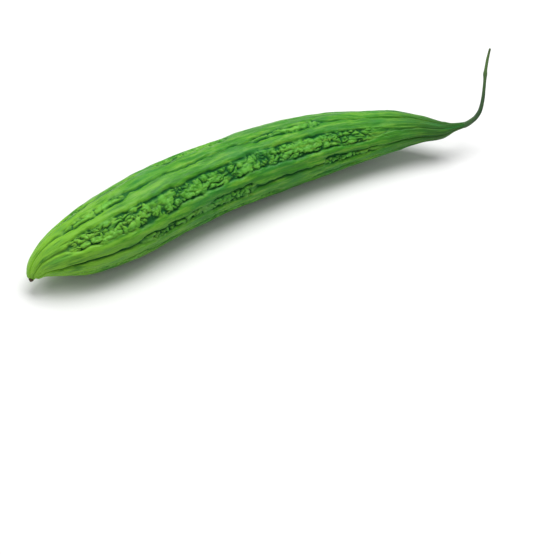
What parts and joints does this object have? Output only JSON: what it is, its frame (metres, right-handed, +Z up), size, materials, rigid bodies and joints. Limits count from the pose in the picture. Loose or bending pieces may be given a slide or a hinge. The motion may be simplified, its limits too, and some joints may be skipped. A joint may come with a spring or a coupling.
{
  "type": "bitter gourd",
  "caption": "Long, slim, bowed bitter gourd with smooth ridges, bands of packed warts between them, a tapering neck with its hooked stalk, and a dried blossom scar.",
  "frame": {"origin": "on the table, under the middle of the part's bounding box", "axes": "+X from the blossom end to the stalk, +Y towards the outer side of the bow, +Z up"},
  "size_m": [0.3185, 0.06, 0.0654],
  "materials": {
    "fruit_skin": "waxy green skin, semi-gloss, yellower at the blossom end",
    "green_stalk": "matt green stalk, drying to brown at the cut",
    "dried_scar": "withered, dark brown, rough"
  },
  "bodies": {
    "root": {"fruit": "fruit_skin", "stalk": "green_stalk", "blossom_scar": "dried_scar"}
  },
  "joints": []
}
